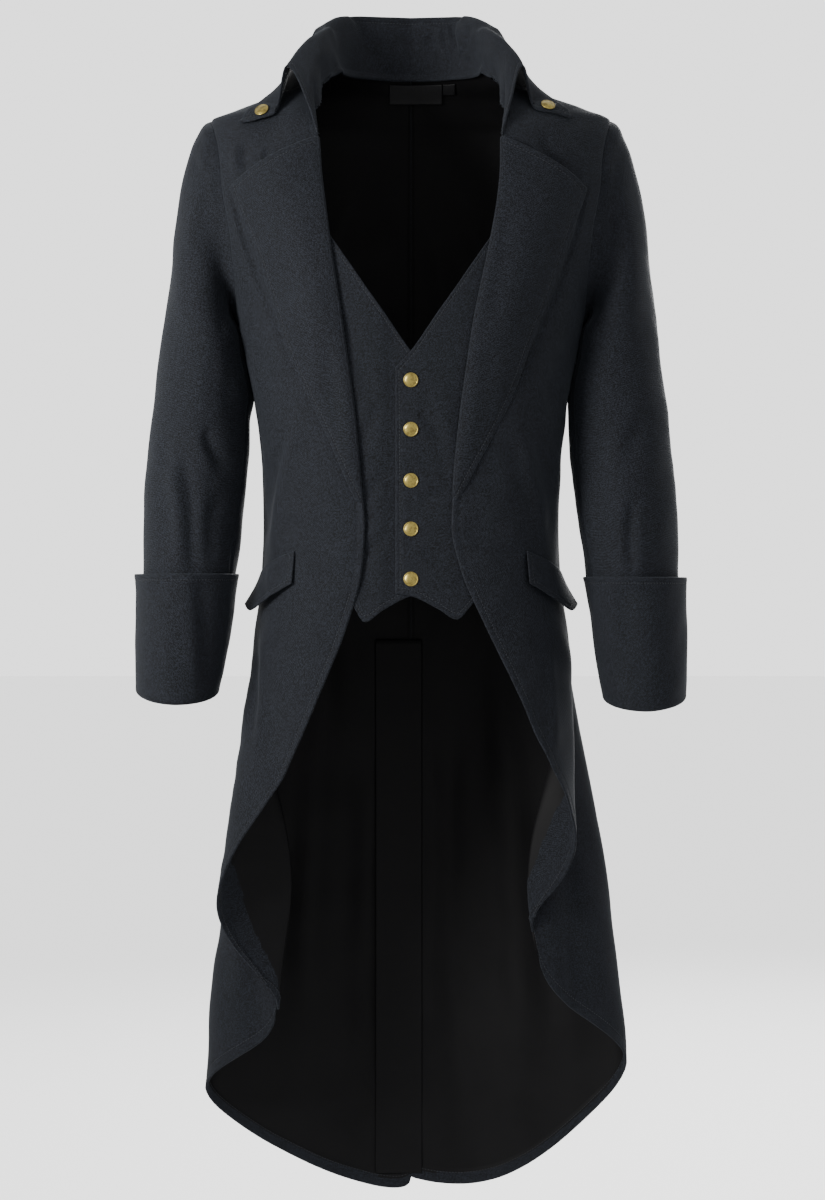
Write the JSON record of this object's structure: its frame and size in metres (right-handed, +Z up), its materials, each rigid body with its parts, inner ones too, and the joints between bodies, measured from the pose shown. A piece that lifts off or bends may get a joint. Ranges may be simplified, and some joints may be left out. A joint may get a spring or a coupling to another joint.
{
  "type": "tailcoat",
  "caption": "Black tailcoat with tall turned-down collar, peaked lapels, false waistcoat closed by studs, turned-back cuffs and long flared tails, filled out as worn.",
  "frame": {"origin": "middle of the neck base, level with the shoulders, where a hanger or a body holds the coat", "axes": "+Z up the coat from hem to collar, -Y out of the front, +X towards the wearer's left"},
  "size_m": [0.6022, 0.2874, 1.3235],
  "materials": {
    "coat_cloth": "matte black twill with a slight blue-grey sheen",
    "waistcoat_cloth": "matte black twill",
    "aged_brass": "antique, low sheen",
    "label_ribbon": "plain woven ribbon"
  },
  "bodies": {
    "root": {"front_right": "coat_cloth", "front_left": "coat_cloth", "back_right": "coat_cloth", "back_left": "coat_cloth", "vent_underlap": "coat_cloth", "sleeve_right": "coat_cloth", "sleeve_left": "coat_cloth", "cuff_right": "coat_cloth", "cuff_left": "coat_cloth", "lapel_right": "coat_cloth", "lapel_left": "coat_cloth", "collar": "coat_cloth", "pocket_flap_right": "coat_cloth", "pocket_flap_left": "coat_cloth", "waistcoat_right": "waistcoat_cloth", "waistcoat_left": "waistcoat_cloth", "front_stud_1": "aged_brass", "front_stud_2": "aged_brass", "front_stud_3": "aged_brass", "front_stud_4": "aged_brass", "front_stud_5": "aged_brass", "collar_stud_right": "aged_brass", "collar_stud_left": "aged_brass", "neck_label": "label_ribbon", "size_tab": "label_ribbon"}
  },
  "joints": []
}
